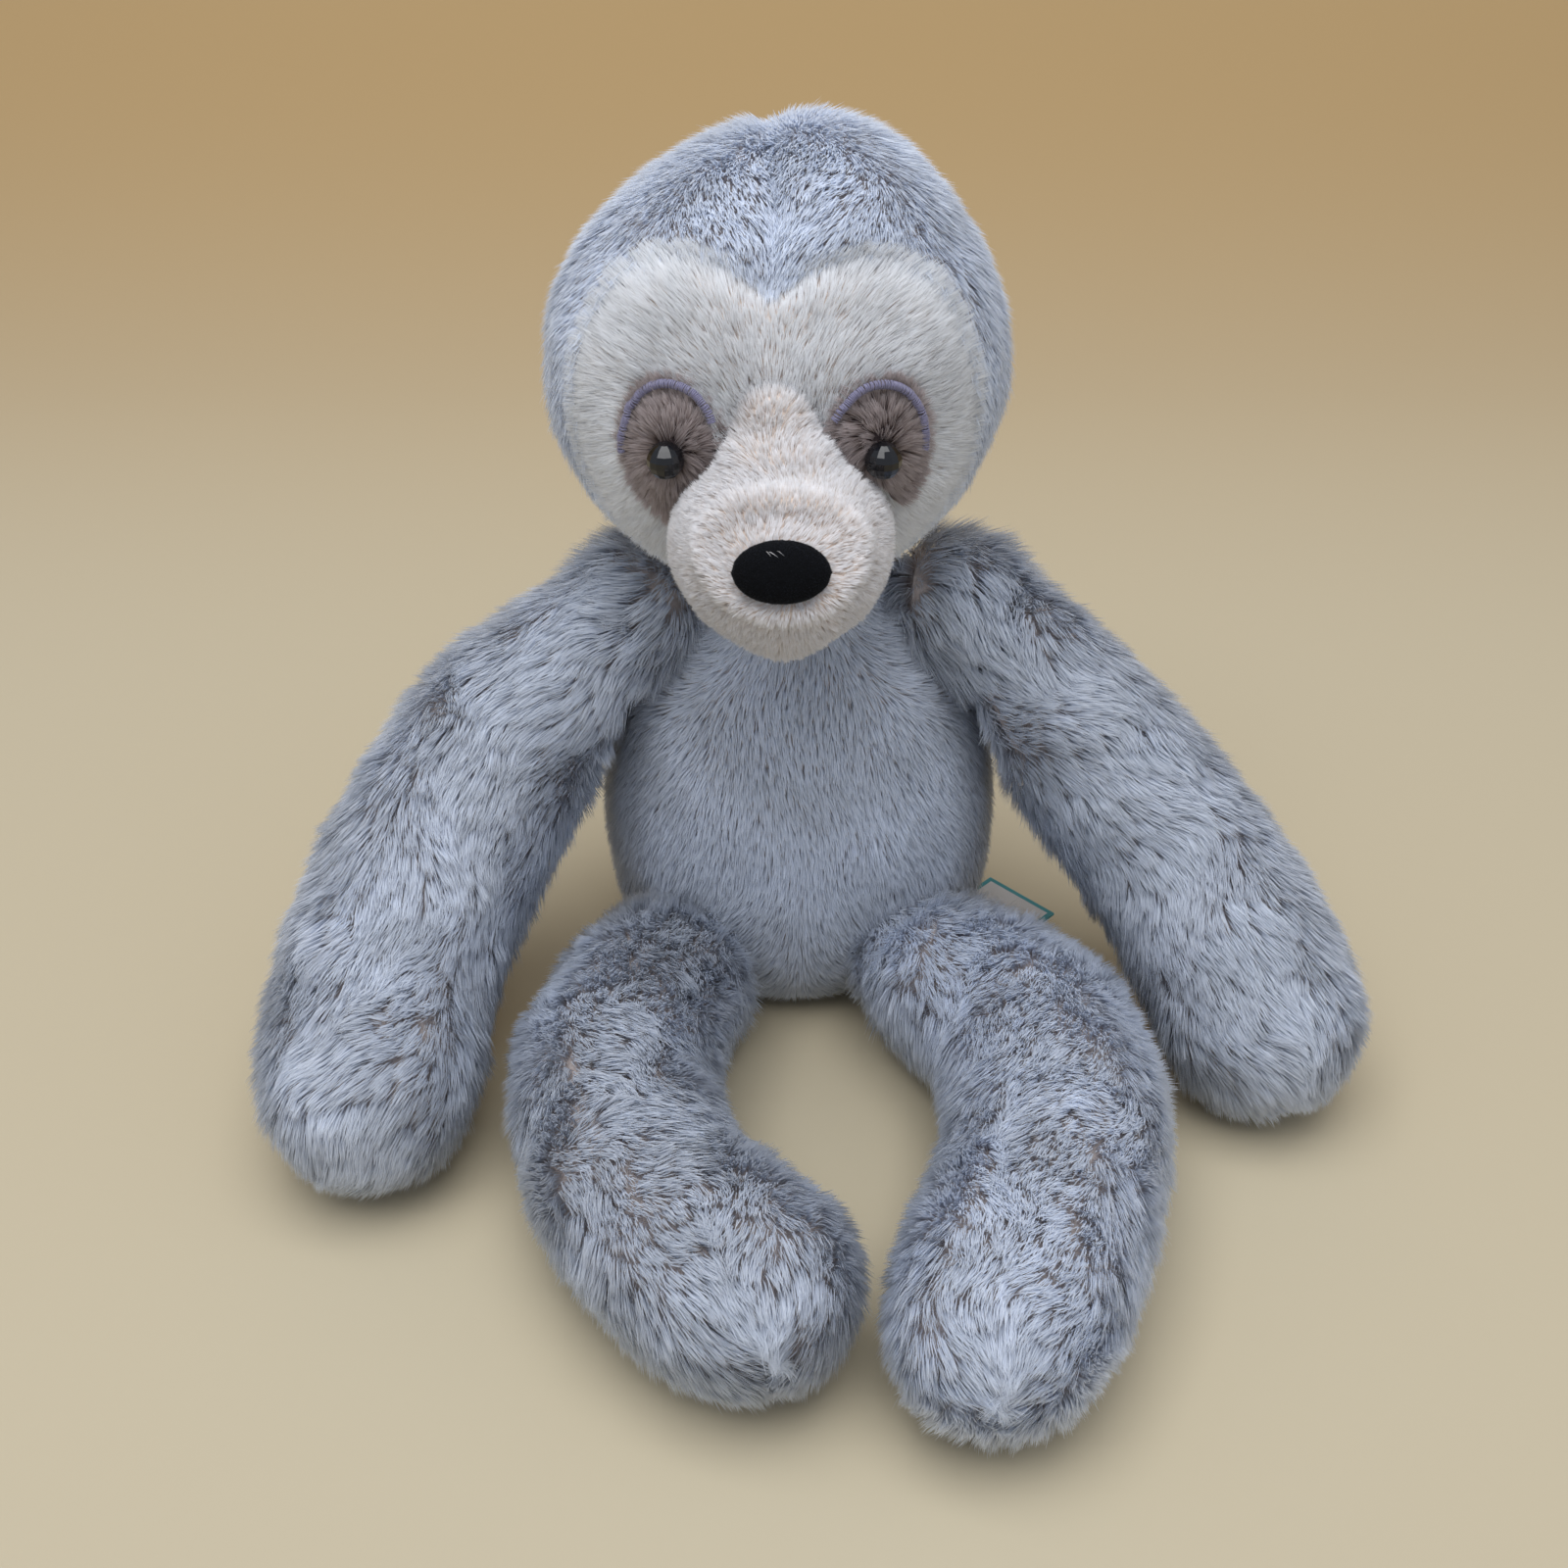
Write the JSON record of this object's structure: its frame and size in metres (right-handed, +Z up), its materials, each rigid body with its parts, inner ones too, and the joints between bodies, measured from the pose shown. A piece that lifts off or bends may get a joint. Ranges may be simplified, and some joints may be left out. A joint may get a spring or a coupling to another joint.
{
  "type": "plush sloth",
  "caption": "Seated long-limbed plush sloth with a stuffed body, turning and nodding head, arms and legs that swing at sewn roots, a cream face and a blank side label.",
  "frame": {"origin": "middle of the flat seat, on the ground", "axes": "+Z up, the toy faces -Y, its right side is at -X"},
  "size_m": [0.2769, 0.2329, 0.241],
  "materials": {
    "grey_fur": "long tipped pile",
    "cream_fur": "long pile",
    "short_pile": "short pile",
    "patch_fur": "short pile",
    "thread": "satin stitch",
    "velour": "velour",
    "eye_plastic": "polished",
    "washer_plastic": "moulded",
    "fibre": "loose fibre",
    "pouch_cloth": "woven",
    "label_cloth": "woven satin"
  },
  "bodies": {
    "torso": {"torso_front_panel": "grey_fur", "torso_back_panel": "grey_fur", "torso_filling": "fibre", "seat_bean_pouch": "pouch_cloth"},
    "neck": {"neck_gather": "grey_fur"},
    "head": {"hood_right": "grey_fur", "hood_left": "grey_fur", "face_panel": "cream_fur", "head_filling": "fibre", "muzzle_cover": "short_pile", "muzzle_filling": "fibre", "nose_pad": "velour", "right_eye_patch": "patch_fur", "left_eye_patch": "patch_fur", "right_brow_stitching": "thread", "left_brow_stitching": "thread", "right_eye": "eye_plastic", "left_eye": "eye_plastic", "right_eye_washer": "washer_plastic", "left_eye_washer": "washer_plastic"},
    "right_shoulder": {"right_arm_root": "grey_fur"},
    "right_arm": {"right_arm_sleeve": "grey_fur", "right_arm_filling": "fibre"},
    "left_shoulder": {"left_arm_root": "grey_fur"},
    "left_arm": {"left_arm_sleeve": "grey_fur", "left_arm_filling": "fibre"},
    "right_hip": {"right_leg_root": "grey_fur"},
    "right_leg": {"right_leg_sleeve": "grey_fur", "right_leg_filling": "fibre"},
    "left_hip": {"left_leg_root": "grey_fur"},
    "left_leg": {"left_leg_sleeve": "grey_fur", "left_leg_filling": "fibre"},
    "label": {"sewn_label": "label_cloth"}
  },
  "joints": [
    {"name": "neck_turn", "type": "hinge", "parent": "torso", "child": "neck", "pos_m": [-0.003, -0.006, 0.128], "axis": [0, 0, 1], "range_deg": [-35, 35]},
    {"name": "neck_nod", "type": "hinge", "parent": "neck", "child": "head", "pos_m": [-0.003, -0.006, 0.128], "axis": [1, 0, 0], "range_deg": [-20, 20]},
    {"name": "right_shoulder_swing", "type": "hinge", "parent": "torso", "child": "right_shoulder", "pos_m": [-0.036, -0.005, 0.116], "axis": [1, 0, 0], "range_deg": [-70, 20], "deforming": ["right_arm_root"]},
    {"name": "right_arm_raise", "type": "hinge", "parent": "right_shoulder", "child": "right_arm", "pos_m": [-0.036, -0.005, 0.116], "axis": [0, 1, 0], "range_deg": [0, 45], "deforming": ["right_arm_root"]},
    {"name": "left_shoulder_swing", "type": "hinge", "parent": "torso", "child": "left_shoulder", "pos_m": [0.036, -0.005, 0.116], "axis": [1, 0, 0], "range_deg": [-70, 20], "deforming": ["left_arm_root"]},
    {"name": "left_arm_raise", "type": "hinge", "parent": "left_shoulder", "child": "left_arm", "pos_m": [0.036, -0.005, 0.116], "axis": [0, -1, 0], "range_deg": [0, 45], "deforming": ["left_arm_root"]},
    {"name": "right_hip_lift", "type": "hinge", "parent": "torso", "child": "right_hip", "pos_m": [-0.028, -0.031, 0.0235], "axis": [-1, 0, 0], "range_deg": [-40, 23], "deforming": ["right_leg_root"]},
    {"name": "right_leg_twist", "type": "hinge", "parent": "right_hip", "child": "right_leg", "pos_m": [-0.028, -0.031, 0.0235], "axis": [-0.2545, -0.9671, 0], "range_deg": [-20, 35], "deforming": ["right_leg_root"]},
    {"name": "left_hip_lift", "type": "hinge", "parent": "torso", "child": "left_hip", "pos_m": [0.028, -0.031, 0.0235], "axis": [-1, 0, 0], "range_deg": [-40, 23], "deforming": ["left_leg_root"]},
    {"name": "left_leg_twist", "type": "hinge", "parent": "left_hip", "child": "left_leg", "pos_m": [0.028, -0.031, 0.0235], "axis": [-0.4317, 0.902, 0], "range_deg": [-20, 35], "deforming": ["left_leg_root"]},
    {"name": "label_flap", "type": "hinge", "parent": "torso", "child": "label", "pos_m": [0.046, 0, 0.0075], "axis": [0, -1, 0], "range_deg": [-5, 40]}
  ]
}
